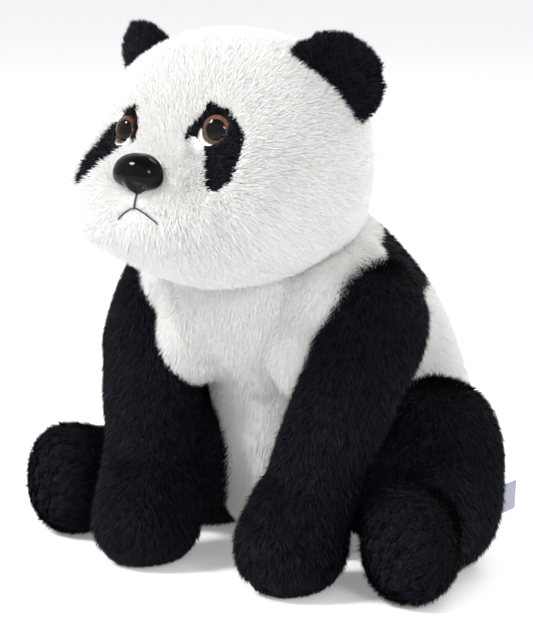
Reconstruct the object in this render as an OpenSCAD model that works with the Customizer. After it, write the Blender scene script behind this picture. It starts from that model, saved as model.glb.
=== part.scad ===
// Plush panda sitting with its forepaws between its hind feet.
// Millimetres, +Z up, facing -Y, +X is the panda's own left side.
// The origin is on the ground at the middle of the flat seat.

/* [Head] */
// Half of the head's width across the cheeks
head_half_w = 81; // [74:0.5:86]
// Half of the head's height
head_half_h = 69; // [64:0.5:72]
// Depth of the face ahead of the head's middle, at the brow
brow_depth = 64; // [58:0.5:68]
// How far the muzzle stands out beyond the brow
muzzle_out = 31; // [20:0.5:32]
// Depth of the head behind its middle
nape_depth = 56; // [48:0.5:60]
// Height of the head's middle above the ground
head_z = 236; // [232:0.5:240]

/* [Face] */
// Diameter of the plastic eye
eye_d = 16; // [12:0.5:18]
// Diameter of the black pupil
pupil_d = 11; // [7:0.5:12]
// Distance of each eye from the middle of the face
eye_x = 30.5; // [27:0.5:34]
// Height of the eyes above the ground
eye_z = 258.5; // [254:0.5:262]
// Width of the plastic nose
nose_w = 32; // [26:0.5:33]
// Height of the nose above the ground
nose_z = 234.5; // [232:0.5:238]
// Height of the mouth above the ground
mouth_z = 217.5; // [215:0.5:221]

/* [Ears] */
// Radius of the round ear
ear_r = 31; // [26:0.5:32]
// Thickness of the ear, front panel and back panel together
ear_t = 14; // [10:0.5:16]

/* [Body] */
// Half of the torso's width at the belly
belly_half_w = 76; // [72:0.5:80]
// Thickness of the plush, its backing and its pile together
plush_t = 6; // [4:0.5:7]
// Clearance between soft pieces that move against each other
play = 0.8; // [0.5:0.1:1.5]
// Clearance between a cover and its filling
fill_gap = 0.3; // [0.2:0.05:0.5]

/* [Limbs] */
// Radius of the round shoulder
shoulder_r = 36; // [32:0.5:37]
// Radius of the round haunch
haunch_r = 41; // [38:0.5:43]
// Height of the haunch
haunch_h = 110; // [100:1:114]
// Distance of each forepaw from the middle
paw_x = 52.5; // [50:0.5:53]
// Distance of the left hind foot from the middle
left_foot_x = 118; // [117:0.5:124]
// Distance of the right hind foot from the middle
right_foot_x = 127; // [112:0.5:128]

/* [Hidden] */
$fn = 32;
sides = 22;                     // points round each soft section
cord_white = "#ecebe8";
plush_white = "#f1f0ee";
plush_black = "#17181a";
sole_black = "#222326";
filling = "#fbfaf5";

// Places
head_y = -98;                   // the head's middle, front to back
neck = [0, -82, 190];           // middle of the neck seam
neck_tilt = 42;                 // the neck leans forward by this many degrees
shoulder = [56, -70, 150];      // middle of the shoulder seam, left side
hip = [83, -23, 0];              // upright axis of the haunch, left side

// A signed power, for squared-off round sections
function spow(v, p) = sign(v) * pow(abs(v), p);
// How full a squared-off round form is at height t, from -1 to 1
function fullness(t, n) = pow(max(0, 1 - pow(abs(t), n)), 1 / n);
// Mirror a point to the right side
function flip(p) = [-p[0], p[1], p[2]];

// A closed skin through rings of points, with a pole at either end
module skin(rings, low, high) {
    n = len(rings);
    m = len(rings[0]);
    points = concat([low], [for (r = rings) each r], [high]);
    at = function(k, i) 1 + k * m + i % m;
    faces = concat(
        [for (i = [0:m - 1]) [0, at(0, i), at(0, i + 1)]],
        [for (k = [0:n - 2]) for (i = [0:m - 1]) each [
            [at(k, i), at(k + 1, i), at(k + 1, i + 1)],
            [at(k, i), at(k + 1, i + 1), at(k, i + 1)]]],
        [for (i = [0:m - 1]) [n * m + 1, at(n - 1, i + 1), at(n - 1, i)]]);
    polyhedron(points, faces);
}

// A soft form through sections [centre, half width, half depth, tilt, squareness];
// inset draws the same form that much further in
module loft(sections, caps, inset = 0) {
    ring = function(s) [for (i = [0:sides - 1]) let (a = 360 * i / sides,
        u = (s[1] - inset) * spow(cos(a), 2 / s[4]), v = (s[2] - inset) * spow(sin(a), 2 / s[4]))
        s[0] + [u, v * cos(s[3]), v * sin(s[3])]];
    normal = function(s) [0, -sin(s[3]), cos(s[3])];
    first = sections[0];
    last = sections[len(sections) - 1];
    skin([for (s = sections) ring(s)],
        first[0] - normal(first) * (caps[0] - inset), last[0] + normal(last) * (caps[1] - inset));
}

// ---- head ----
head_levels = [-0.985, -0.93, -0.82, -0.66, -0.48, -0.3, -0.12, 0.08, 0.28, 0.48, 0.66, 0.82, 0.93, 0.985];
head_round = 2.4;
muzzle_z = 212;
muzzle_spread = 34;
function muzzle(z) = muzzle_out * exp(-pow((z - muzzle_z) / muzzle_spread, 2));
function face_depth(z) = brow_depth * fullness((z - head_z) / head_half_h, head_round) + muzzle(z);
function face_square(z) = 2.4 + 0.6 * muzzle(z) / muzzle_out;
// Front of the face at a place across and up
function face_y(x, z) = head_y - face_depth(z)
    * fullness(x / (head_half_w * fullness((z - head_z) / head_half_h, head_round)), face_square(z));

module head_form(inset = 0) {
    ring = function(t) let (z = head_z + t * (head_half_h - inset), f = fullness(t, head_round),
        wide = head_half_w * f - inset, back = nape_depth * f - inset, front = face_depth(z) - inset)
        [for (i = [0:sides * 1.5 - 1]) let (a = 360 * i / (sides * 1.5), q = sin(a) < 0 ? face_square(z) : 2.3)
            [wide * spow(cos(a), 2 / q), head_y + (sin(a) < 0 ? front : back) * spow(sin(a), 2 / q), z]];
    skin([for (t = head_levels) ring(t)],
        [0, head_y, head_z - head_half_h + inset], [0, head_y, head_z + head_half_h - inset]);
}

// Half-space on the far side of the neck seam
module past_neck() {
    translate(neck) rotate([neck_tilt, 0, 0]) translate([-200, -200, -400]) cube([400, 400, 400]);
}
// Half-space on the head's side of the neck seam, and the clearance there
module before_neck() {
    translate(neck) rotate([neck_tilt, 0, 0]) translate([-200, -200, -play]) cube([400, 400, 400]);
}

// Places a piece on the face, its +Z along the outward direction of an eye
eye_turn = 15;
eye_lift = 10;
eye_sunk = 8.5;
// The face is sewn a little askew: the right eye sits lower than the left
function eye_drop(side) = side < 0 ? 4 : 0;
module at_eye(side) {
    z = eye_z - eye_drop(side);
    translate([side * eye_x, face_y(eye_x, z) + eye_sunk, z])
        rotate([90 - eye_lift, 0, side * eye_turn]) children();
}
module at_nose() {
    translate([0, face_y(0, nose_z) + 1, nose_z]) rotate([82, 0, 0]) children();
}
module below_ground(inset = 0) { translate([-300, -300, inset - 100]) cube([600, 600, 100]); }
module both() { children(0); mirror([1, 0, 0]) children(0); }

// Outline of the left eye patch, seen from the front
module patch_outline() {
    hull() {
        translate([26, 268]) circle(5, $fn = 16);
        translate([33, 257]) circle(11, $fn = 20);
        translate([42, 247]) circle(10, $fn = 20);
        translate([45, 237]) circle(7.5, $fn = 20);
    }
}
module patch_prism(side) {
    mirror([side < 0 ? 1 : 0, 0, 0]) translate([0, head_y - 30, -eye_drop(side)]) rotate([90, 0, 0])
        linear_extrude(120) patch_outline();
}

shank_d = 5;
shank_len = 16;
washer_d = 15;
washer_t = 3;
bore_play = 0.2;
pocket_play = 0.6;
module shank_hole() { translate([0, 0, -40]) cylinder(d = shank_d + bore_play, h = 41, $fn = 24); }
module eye_seat() { cylinder(d = eye_d + 2 * bore_play, h = 30); }
module nose_seat() { cylinder(d = nose_w + 1.2, h = 20); }

ear_place = [61, -96, 277];
ear_root = 52;                  // length of the rounded root
ear_rise = 7;                   // height of the ear's middle above its root
ear_lean = 34;                  // leans outward from upright
ear_face = 24;                  // its face turns outward from straight ahead
module at_ear(side) {
    mirror([side < 0 ? 1 : 0, 0, 0]) translate(ear_place) rotate([0, ear_lean, 0]) rotate([0, 0, ear_face])
        children();
}
// Room in the head for the ear's root and for the ear as it folds forward and back
module ear_space() {
    root = ear_t / 2 + 1.5;
    rotate([90, 0, 90]) linear_extrude(2 * ear_r + 4, center = true)
        polygon([[-root, -root], [root, -root], [root + 14, 2 * ear_r], [-root - 14, 2 * ear_r]]);
}

module head_holes() {
    for (side = [-1, 1]) {
        at_eye(side) { shank_hole(); eye_seat(); }
        at_ear(side) ear_space();
    }
    at_nose() { shank_hole(); nose_seat(); }
}

module head_cover() {
    color(plush_white) difference() {
        head_form();
        head_form(plush_t);
        past_neck();
        patch_prism(1);
        patch_prism(-1);
        head_holes();
    }
}

module eye_patch(side) {
    color(plush_black) difference() {
        intersection() { head_form(1.5); patch_prism(side); }
        head_form(plush_t);
        at_eye(side) { shank_hole(); eye_seat(); }
    }
}
module left_eye_patch() { eye_patch(1); }
module right_eye_patch() { eye_patch(-1); }

// The head's filling, with room for the washers that hold the eyes and the nose
eye_washer_back = 9;
nose_washer_back = 12.5;
module washer_space() { translate([0, 0, -30]) cylinder(d = washer_d + 2 * pocket_play, h = 30); }
module head_stuffing() {
    color(filling) difference() {
        head_form(plush_t + fill_gap);
        past_neck();
        for (side = [-1, 1]) {
            at_eye(side) { washer_space(); eye_seat(); }
            at_ear(side) ear_space();
        }
        at_nose() washer_space();
    }
}

// Eyes: a clear dome over a black pupil and a brown back with its shank
iris_t = 1;
pupil_t = 0.5;
dome_h = 6;
module eye_lens(side) {
    radius = (pow(eye_d / 2, 2) + pow(dome_h, 2)) / (2 * dome_h);
    color("#d8e0e4") at_eye(side) difference() {
        intersection() {
            translate([0, 0, iris_t + dome_h - radius]) sphere(radius);
            translate([0, 0, iris_t]) cylinder(d = eye_d, h = dome_h);
        }
        cylinder(d = pupil_d, h = iris_t + pupil_t);
    }
}
module eye_pupil(side) {
    color("#060606") at_eye(side) translate([0, 0, iris_t]) cylinder(d = pupil_d, h = pupil_t);
}
module eye_iris(side) {
    color("#5c331f") at_eye(side) {
        cylinder(d = eye_d, h = iris_t);
        translate([0, 0, -shank_len]) cylinder(d = shank_d, h = shank_len + iris_t / 2);
    }
}
module washer(back) {
    color("#f4f4f0") translate([0, 0, -back]) difference() {
        cylinder(d = washer_d, h = washer_t);
        translate([0, 0, -1]) cylinder(d = shank_d, h = washer_t + 2);
    }
}
module left_eye_lens() { eye_lens(1); }
module right_eye_lens() { eye_lens(-1); }
module left_eye_pupil() { eye_pupil(1); }
module right_eye_pupil() { eye_pupil(-1); }
module left_eye_iris() { eye_iris(1); }
module right_eye_iris() { eye_iris(-1); }
module left_eye_washer() { at_eye(1) washer(eye_washer_back); }
module right_eye_washer() { at_eye(-1) washer(eye_washer_back); }

// Nose: a rounded three-cornered boss with a flat back and a shank
module nose() {
    lobe = nose_w / 4;
    color("#0a0a0a") at_nose() {
        difference() {
            hull() {
                for (side = [-1, 1]) translate([side * (nose_w / 2 - lobe), 2, 1]) sphere(lobe);
                translate([0, 4, 2]) sphere(lobe);
                translate([0, -5, 0]) sphere(lobe * 0.8);
            }
            translate([-nose_w, -nose_w, -2 * nose_w]) cube(2 * nose_w);
        }
        translate([0, 0, -shank_len]) cylinder(d = shank_d, h = shank_len + 2);
    }
}
module nose_washer() { at_nose() washer(nose_washer_back); }

// Mouth: embroidery thread laid on the muzzle, a stem and two turned-down sides
thread_r = 0.8;
function on_face(x, z) = [x, face_y(x, z) - thread_r - 0.1, z];
mouth_stem = [for (k = [0:3]) on_face(0, mouth_z + 9 * (1 - k / 3))];
mouth_side = [for (k = [0:4]) let (t = k / 4) on_face(16 * t, mouth_z - 7 * pow(t, 1.5))];
module thread(points) {
    for (k = [0:len(points) - 2]) let (d = points[k + 1] - points[k], long = norm(d)) {
        translate(points[k]) rotate([0, acos(d[2] / long), atan2(d[1], d[0])])
            cylinder(r = thread_r, h = long, $fn = 8);
        translate(points[k + 1]) sphere(thread_r, $fn = 8);
    }
}
module mouth_stitches() {
    color("#26262a") {
        thread(mouth_stem);
        thread(mouth_side);
        thread([for (p = mouth_side) flip(p)]);
    }
}

// Ears: a round cushion of two panels that stands on a rounded root
module ear_half(front) {
    color(plush_black) intersection() {
        union() {
            intersection() {
                translate([0, 0, ear_rise]) rotate([90, 0, 0]) rotate_extrude()
                    polygon(concat([[0, -ear_t / 2]], [for (k = [0:10]) let (a = -90 + 18 * k)
                        [ear_r * spow(cos(a), 0.9), ear_t / 2 * sin(a)]], [[0, ear_t / 2]]));
                translate([-ear_r, -ear_t, 0]) cube([2 * ear_r, 2 * ear_t, 2 * ear_r + 8]);
            }
            rotate([0, 90, 0]) cylinder(r = ear_t / 2 - 1, h = ear_root, center = true);
        }
        translate([-ear_r - 5, front ? -ear_t : 0, -ear_r]) cube([2 * ear_r + 10, ear_t, 3 * ear_r]);
    }
}
module left_ear_front() { at_ear(1) ear_half(true); }
module left_ear_back() { at_ear(1) ear_half(false); }
module right_ear_front() { at_ear(-1) ear_half(true); }
module right_ear_back() { at_ear(-1) ear_half(false); }

// ---- torso ----
// [centre, half width, half depth, tilt, squareness], from the seat up to the neck
torso_sections = [
    [[0, 0, 1], 40, 42, 0, 2.2],
    [[0, 1, 12], 62, 60, 0, 2.3],
    [[0, 3, 35], belly_half_w, 71, 0, 2.4],
    [[0, 2, 65], belly_half_w + 2, 74, 2, 2.4],
    [[0, -4, 95], belly_half_w, 73, 8, 2.3],
    [[0, -17, 125], 71, 70, 18, 2.2],
    [[0, -39, 152], 64, 65, 28, 2.2],
    [[0, -66, 176], 57, 57, 36, 2.2],
    [[0, -90, 200], 52, 45, 42, 2.2]];
torso_caps = [8, 6];

module torso_core(inset = 0) {
    difference() {
        loft(torso_sections, torso_caps, inset);
        below_ground(inset);
    }
}
module torso_form(inset = 0) {
    difference() {
        torso_core(inset);
        before_neck();
        both() limb_space();
    }
}
// Room in the torso's side for a shoulder and a haunch
module limb_space() {
    translate([shoulder[0] - play, shoulder[1], shoulder[2]]) rotate([0, 90, 0])
        cylinder(r = shoulder_r + play, h = 80, $fn = 48);
    arm_form(-play);
    translate([hip[0], hip[1], -10]) cylinder(r = haunch_r + play, h = haunch_h + play + 10, $fn = 48);
}
module torso_shell() { difference() { torso_form(); torso_core(plush_t); } }

// Black band over the shoulders, between the white collar and the white lower back
band_low = 148;
band_deep = 36;
band_front = -54;
band_tilt = 8;
module band_space() {
    translate([0, band_front, band_low]) rotate([band_tilt, 0, 0]) translate([-120, 0, 0]) cube([240, 200, band_deep]);
}
front_split = -34;
module back_space() { translate([-150, front_split, -20]) cube([300, 200, band_low + 50]); }

module shoulder_yoke() { color(plush_black) intersection() { torso_shell(); band_space(); } }
module back_panel() {
    color(plush_white) difference() { intersection() { torso_shell(); back_space(); } band_space(); }
}
module chest_panel() { color(plush_white) difference() { torso_shell(); back_space(); band_space(); } }

bag = [0, -2, 40];
module bag_form(extra = 0) { translate(bag) scale([1, 1, 0.55]) sphere(40 + extra); }
module torso_stuffing() {
    color(filling) difference() { torso_form(plush_t + fill_gap); bag_form(fill_gap); }
}
module pellet_bag() { color("#cfd2cc") bag_form(); }

// Hand stitches that close the back seam, and the short tail
back_line = [for (s = torso_sections) [s[0][2] + s[2] * sin(s[3]), s[0][1] + s[2] * cos(s[3])]];
stitch_r = 0.6;
stitch_len = 6;
module closing_stitches() {
    color(cord_white) for (k = [0:6]) let (z = 74 + 5 * k)
        translate([-stitch_len / 2, lookup(z, back_line) + stitch_r + 0.3, z]) rotate([0, 90, 0])
            cylinder(r = stitch_r, h = stitch_len, $fn = 8);
}
tail_place = [0, 78, 44];
tail_r = 15;
tail_out = 14;
module tail() {
    color(plush_white) translate(tail_place) rotate([-90, 0, 0]) rotate_extrude()
        polygon(concat([[0, 0]], [for (k = [0:8]) let (t = k / 8) [tail_r * fullness(t, 2), tail_out * t]]));
}

// ---- arms ----
// [centre, half width, half depth, tilt, squareness], from the sole of the paw up
arm_sections = [
    [[paw_x, -114, 2], 20, 25, 0, 2.3],
    [[paw_x, -115, 16], 26, 33, 0, 2.4],
    [[paw_x, -115, 36], 27, 34, 4, 2.4],
    [[57, -110, 58], 27, 30, 12, 2.2],
    [[63, -100, 80], 28, 30, 20, 2.1],
    [[70, -87, 104], 31, 33, 22, 2.1],
    [[74, -78, 126], 30, 34, 16, 2.1],
    [[75, -71, 148], 27, 34, 4, 2.1],
    [[73, -70, 170], 24, 27, 0, 2.1]];
arm_caps = [8, 12];
clear_z = 96;                   // above this the arm keeps outside the shoulder's face
pad_z = 13;
module arm_form(inset = 0) {
    difference() {
        loft(arm_sections, arm_caps, inset);
        translate([shoulder[0] + inset - 200, -200, clear_z]) cube([200, 400, 200]);
        below_ground(inset);
    }
}
module arm_shell() { difference() { arm_form(); arm_form(plush_t); } }
module paw_space() { translate([0, -150, -50]) cube([200, 200, 50 + pad_z]); }
module on_side(side) { mirror([side < 0 ? 1 : 0, 0, 0]) children(); }
module arm_cover(side) { color(plush_black) on_side(side) difference() { arm_shell(); paw_space(); } }
module arm_stuffing(side) { color(filling) on_side(side) arm_form(plush_t + fill_gap); }
module paw_pad(side) { color(sole_black) on_side(side) intersection() { arm_shell(); paw_space(); } }
module left_arm_cover() { arm_cover(1); }
module left_arm_stuffing() { arm_stuffing(1); }
module left_paw_pad() { paw_pad(1); }
module right_arm_cover() { arm_cover(-1); }
module right_arm_stuffing() { arm_stuffing(-1); }
module right_paw_pad() { paw_pad(-1); }

// ---- hind legs ----
// from the haunch forward to the sole of the foot
function leg_sections(foot_x) = [
    [[92, -36, 48], 31, 44, 90, 2.3],
    [[101, -52, 40], 29, 38, 90, 2.3],
    [[foot_x - 8, -68, 33], 27, 31, 90, 2.2],
    [[foot_x - 2, -86, 33], 28, 33, 90, 2.3],
    [[foot_x, -101, 34], 29, 35, 90, 2.3],
    [[foot_x + 1, -111, 34], 24, 29, 90, 2.3]];
leg_caps = [8, 7];
haunch_sunk = 2;                // the haunch sinks this far below its flat underside
sole_y = -107;
module leg_form(foot_x, inset = 0) {
    difference() {
        union() {
            loft(leg_sections(foot_x), leg_caps, inset);
            haunch(inset);
        }
        below_ground(inset);
    }
}
// The haunch is round about its upright axis, so it turns in its place
module haunch(inset) {
    r = haunch_r - inset;
    half = haunch_h / 2 + haunch_sunk - inset;
    translate([hip[0], hip[1], haunch_h / 2 - haunch_sunk]) rotate_extrude($fn = 44)
        polygon([for (k = [0:14]) let (a = -90 + 180 * k / 14)
            [r * spow(cos(a), 2 / 2.6), half * spow(sin(a), 2 / 2.6)]]);
}
module leg_shell(foot_x) { difference() { leg_form(foot_x); leg_form(foot_x, plush_t); } }
module sole_space() { translate([0, sole_y - 100, -50]) cube([200, 100, 200]); }
function foot_place(side) = side > 0 ? left_foot_x : right_foot_x;
module leg_cover(side) {
    color(plush_black) on_side(side) difference() { leg_shell(foot_place(side)); sole_space(); }
}
module leg_stuffing(side) { color(filling) on_side(side) leg_form(foot_place(side), plush_t + fill_gap); }
module foot_sole(side) {
    color(sole_black) on_side(side) intersection() { leg_shell(foot_place(side)); sole_space(); }
}
module left_leg_cover() { leg_cover(1); }
module left_leg_stuffing() { leg_stuffing(1); }
module left_foot_sole() { foot_sole(1); }
module right_leg_cover() { leg_cover(-1); }
module right_leg_stuffing() { leg_stuffing(-1); }
module right_foot_sole() { foot_sole(-1); }

// Care label, a folded ribbon that stands out of the seam at the back of the left haunch
label = [17, 0.8, 17];          // how far it stands out, its thickness, its height
label_root = 4;                 // the length cut away against the round of the haunch
label_turn = 72;                // degrees round the haunch from straight out
label_z = 24;
module care_label() {
    color("#d9dae6") difference() {
        translate([hip[0], hip[1], label_z]) rotate([0, 0, label_turn])
            translate([haunch_r - label_root, -label[1] / 2, 0])
                cube([label[0] + label_root, label[1], label[2]]);
        leg_form(left_foot_x);
    }
}

head_cover();
head_stuffing();
left_eye_patch();
right_eye_patch();
left_eye_lens();
right_eye_lens();
left_eye_pupil();
right_eye_pupil();
left_eye_iris();
right_eye_iris();
left_eye_washer();
right_eye_washer();
nose();
nose_washer();
mouth_stitches();
left_ear_front();
left_ear_back();
right_ear_front();
right_ear_back();
chest_panel();
back_panel();
shoulder_yoke();
torso_stuffing();
pellet_bag();
closing_stitches();
tail();
care_label();
left_arm_cover();
left_arm_stuffing();
left_paw_pad();
right_arm_cover();
right_arm_stuffing();
right_paw_pad();
left_leg_cover();
left_leg_stuffing();
left_foot_sole();
right_leg_cover();
right_leg_stuffing();
right_foot_sole();
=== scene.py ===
"""The looks of a sitting plush panda: sewn covers, pile, plastic eyes and nose, and thread."""
import math

import bmesh
import bpy
import numpy as np
from bpy.props import FloatProperty, FloatVectorProperty, PointerProperty
from mathutils import Matrix, Vector
from mathutils.bvhtree import BVHTree


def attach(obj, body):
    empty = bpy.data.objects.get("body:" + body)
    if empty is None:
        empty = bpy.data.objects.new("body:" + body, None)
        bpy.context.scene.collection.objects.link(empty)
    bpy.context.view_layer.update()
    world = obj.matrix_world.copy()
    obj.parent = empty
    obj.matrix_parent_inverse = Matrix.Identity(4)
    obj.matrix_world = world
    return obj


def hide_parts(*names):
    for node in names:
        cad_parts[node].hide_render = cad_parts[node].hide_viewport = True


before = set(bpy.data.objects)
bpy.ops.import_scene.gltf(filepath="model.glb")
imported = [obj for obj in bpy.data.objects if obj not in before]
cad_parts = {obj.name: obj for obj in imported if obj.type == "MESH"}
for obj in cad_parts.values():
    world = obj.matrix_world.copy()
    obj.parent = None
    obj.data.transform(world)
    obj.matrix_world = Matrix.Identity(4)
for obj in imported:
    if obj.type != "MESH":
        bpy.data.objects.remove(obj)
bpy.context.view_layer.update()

bl_info = {
    "name": "Plush panda",
    "version": (1, 0, 0),
    "blender": (4, 5, 0),
    "location": "View3D > Sidebar > Panda",
    "description": "Sews and furs a plush panda round its packed frame",
    "category": "Mesh",
}

MM = 0.001                      # the frame is in metres, and the shapes below in millimetres
SIDES = {"left": 1, "right": -1}


def linear(code):
    """A hex sRGB colour as a linear RGB tuple."""
    levels = [int(code[i:i + 2], 16) / 255 for i in (1, 3, 5)]
    return tuple(c / 12.92 if c <= 0.04045 else ((c + 0.055) / 1.055) ** 2.4 for c in levels)


# ---------------------------------------------------------------- settings

def length(name, description, default, top):
    return FloatProperty(name=name, description=description, default=default, min=0, max=top,
                         subtype="DISTANCE", unit="LENGTH")


def dye(name, description, code):
    return FloatVectorProperty(name=name, description=description, default=linear(code),
                               min=0, max=1, size=3, subtype="COLOR")


class PandaCloth(bpy.types.PropertyGroup):
    """Sizes of the plush"""
    body_pile: length("Body pile", "Length of the pile on the body and limbs", 0.0058, 0.03)
    face_pile: length("Face pile", "Length of the pile on the face", 0.0056, 0.03)
    short_pile: length("Short pile", "Length of the pile on the soles of the paws", 0.004, 0.02)
    strand: length("Strand", "Width of one lock of fibres", 0.00052, 0.003)
    voxel: length("Cloth grid", "Size of the grid that a cover is simulated on", 0.0045, 0.02)
    swell: length("Swell", "How far the filling may push a cover out", 0.004, 0.02)
    backing: length("Backing", "How far the knitted backing lies under the tips of the pile", 0.0038, 0.01)
    density: FloatProperty(name="Density", description="Locks of fibres on a square millimetre",
                           default=2.3, min=0.1, max=6)


class PandaDyes(bpy.types.PropertyGroup):
    """Colours of the pieces"""
    white: dye("White", "White pile", "#f6f6f5")
    cream: dye("Cream", "White pile at its roots and in folds", "#f1efec")
    black: dye("Black", "Black pile", "#020304")
    # painted glint: a lighter colour given to random black locks, standing in for the highlights that black
    # fibres catch
    painted_glint: dye("Glint", "Black fibres that catch the light", "#1a1e27")
    iris: dye("Iris", "Brown back of the eyes", "#572511")
    thread: dye("Thread", "Embroidery thread of the mouth", "#202128")
    label: dye("Label", "Satin of the care label", "#a9aabd")


# ---------------------------------------------------------------- materials

def add(tree, kind, links=None, **settings):
    """Adds a node and gives its settings and inputs their values. In links, an input's name or number
    stands for a plain value, an output of another node, or a node, whose first output feeds it."""
    node = tree.nodes.new(kind)
    for key, value in settings.items():
        if hasattr(node, key):
            setattr(node, key, value)
        else:
            node.inputs[key.replace("_", " ")].default_value = value
    for socket, source in (links or {}).items():
        if isinstance(source, bpy.types.Node):
            source = source.outputs[0]
        if isinstance(source, bpy.types.NodeSocket):
            tree.links.new(source, node.inputs[socket])
        else:
            node.inputs[socket].default_value = source
    return node


def principled(name, **settings):
    """A material with one Principled shader, and its tree."""
    material = bpy.data.materials.new(name)
    material.use_nodes = True
    shader = material.node_tree.nodes["Principled BSDF"]
    for key, value in settings.items():
        socket = shader.inputs[key.replace("_", " ")]
        socket.default_value = (*value, 1.0) if key == "Base_Color" and len(value) == 3 else value
    return material, material.node_tree, shader


def feed(tree, shader, **sources):
    """Links nodes' outputs to a shader's inputs."""
    for key, source in sources.items():
        tree.links.new(source, shader.inputs[key.replace("_", " ")])


def mixed(values, a, t):
    """A colour between two others."""
    return tuple(x * (1 - t) + y * t for x, y in zip(values, a))


def pile_materials(name, root, tips, roughness, sheen, gloss, through=0.0):
    """Polyester plush fibre, dyed, cut and brushed: each lock is one tint, so each tint is its own
    material, with the soft edge light that fine fibre gives."""
    made = []
    for k, tip in enumerate([root] + tips):
        made.append(principled(f"{name} {k + 1}", Base_Color=tip, Roughness=roughness,
                               Specular_IOR_Level=gloss, Sheen_Weight=sheen, Sheen_Roughness=0.45,
                               Subsurface_Weight=through, Subsurface_Scale=0.004,
                               Subsurface_Radius=(1.0, 1.0, 1.0))[0])
    return made


def knit_backing(name, colour, shade, sheen):
    """Knitted polyester backing under the pile: ribs 1.8 mm apart with uneven dye, coarser than real
    knit so that they show."""
    material, tree, shader = principled(name, Roughness=0.9, Sheen_Weight=sheen, Sheen_Roughness=0.5,
                                        Specular_IOR_Level=0.2)
    place = add(tree, "ShaderNodeTexCoord").outputs["Object"]
    rib_pitch = 0.0018
    ribs = add(tree, "ShaderNodeTexWave", {"Vector": place}, Scale=2 / rib_pitch / 6.28,
               Distortion=1.5, Detail=1.0)
    blotch = add(tree, "ShaderNodeTexNoise", {"Vector": place}, Scale=90.0, Detail=3.0)
    mix = add(tree, "ShaderNodeMix", {"Factor": blotch.outputs["Fac"], 6: (*shade, 1), 7: (*colour, 1)},
              data_type="RGBA")
    ridge = add(tree, "ShaderNodeBump", {"Height": ribs.outputs["Fac"]}, Strength=0.5, Distance=0.0003)
    feed(tree, shader, Base_Color=mix.outputs[2], Normal=ridge.outputs["Normal"])
    return material


def eye_brown(colour):
    """Injection-moulded brown plastic seen through the dome: smooth, with a soft highlight. Its streaks
    read a UV map, and on a piece that has none, as the frame's iris, it is one even brown."""
    material, tree, shader = principled("moulded brown plastic", Roughness=0.25, IOR=1.49)
    streak = add(tree, "ShaderNodeTexNoise", {"Vector": add(tree, "ShaderNodeTexCoord").outputs["UV"]},
                 Scale=14.0, Detail=4.0)
    mix = add(tree, "ShaderNodeMix", {
        "Factor": streak.outputs["Fac"], 6: (*mixed(colour, (0, 0, 0), 0.55), 1),
        7: (*mixed(colour, (1, 0.5, 0.2), 0.12), 1)}, data_type="RGBA")
    feed(tree, shader, Base_Color=mix.outputs[2])
    return material


def clear_acrylic():
    """Cast acrylic dome, polished: it lets the iris through and mirrors the studio lights. Its IOR is
    below acrylic's own 1.49, so that the pale studio doesn't grey the pupil."""
    return principled("polished clear acrylic", Base_Color=(1, 1, 1), Roughness=0.005, IOR=1.28,
                      Transmission_Weight=1.0)[0]


def black_gloss(name, grain=0.0004, gloss=0.12):
    """Moulded ABS with a polished skin: deep black, with a faint ripple in its reflections."""
    material, tree, shader = principled(name, Base_Color=linear("#030304"), Roughness=0.08, IOR=1.5,
                                        Specular_IOR_Level=gloss)
    place = add(tree, "ShaderNodeTexCoord").outputs["Object"]
    ripple = add(tree, "ShaderNodeTexNoise", {"Vector": place}, Scale=160.0, Detail=2.0)
    ridge = add(tree, "ShaderNodeBump", {"Height": ripple.outputs["Fac"]}, Strength=0.35, Distance=grain)
    feed(tree, shader, Normal=ridge.outputs["Normal"])
    return material


def thread_material(name, colour):
    """Mercerised cotton thread: two plies twisted together, 2 mm to a turn, drawn coarse to show."""
    material, tree, shader = principled(name, Roughness=0.55, Sheen_Weight=0.3)
    place = add(tree, "ShaderNodeTexCoord").outputs["Object"]
    ply = add(tree, "ShaderNodeTexWave", {"Vector": place}, Scale=320.0, Distortion=2.0,
              bands_direction="DIAGONAL")
    mix = add(tree, "ShaderNodeMix", {
        "Factor": ply.outputs["Fac"], 6: (*mixed(colour, (0, 0, 0), 0.6), 1), 7: (*colour, 1)},
        data_type="RGBA")
    ridge = add(tree, "ShaderNodeBump", {"Height": ply.outputs["Fac"]}, Strength=0.6, Distance=0.0002)
    feed(tree, shader, Base_Color=mix.outputs[2], Normal=ridge.outputs["Normal"])
    return material


def satin(colour):
    """Woven polyester satin ribbon: a smooth face with fine cross threads, 0.5 mm apart."""
    material, tree, shader = principled("satin ribbon", Roughness=0.38, Sheen_Weight=0.2)
    place = add(tree, "ShaderNodeTexCoord").outputs["Object"]
    weave = add(tree, "ShaderNodeTexWave", {"Vector": place}, Scale=640.0, bands_direction="Z")
    mix = add(tree, "ShaderNodeMix", {
        "Factor": weave.outputs["Fac"], 6: (*mixed(colour, (0, 0, 0), 0.18), 1), 7: (*colour, 1)},
        data_type="RGBA")
    ridge = add(tree, "ShaderNodeBump", {"Height": weave.outputs["Fac"]}, Strength=0.3, Distance=0.0001)
    feed(tree, shader, Base_Color=mix.outputs[2], Normal=ridge.outputs["Normal"])
    return material


def mottled(name, colour, shade, scale, roughness, depth):
    """Plain stuff inside the toy, uneven in tone: fibre filling, bag cloth or moulded washers."""
    material, tree, shader = principled(name, Roughness=roughness)
    place = add(tree, "ShaderNodeTexCoord").outputs["Object"]
    grain = add(tree, "ShaderNodeTexNoise", {"Vector": place}, Scale=scale, Detail=5.0)
    mix = add(tree, "ShaderNodeMix", {
        "Factor": grain.outputs["Fac"], 6: (*linear(shade), 1), 7: (*linear(colour), 1)}, data_type="RGBA")
    ridge = add(tree, "ShaderNodeBump", {"Height": grain.outputs["Fac"]}, Strength=0.6, Distance=depth)
    feed(tree, shader, Base_Color=mix.outputs[2], Normal=ridge.outputs["Normal"])
    return material


# ---------------------------------------------------------------- mesh helpers

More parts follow.
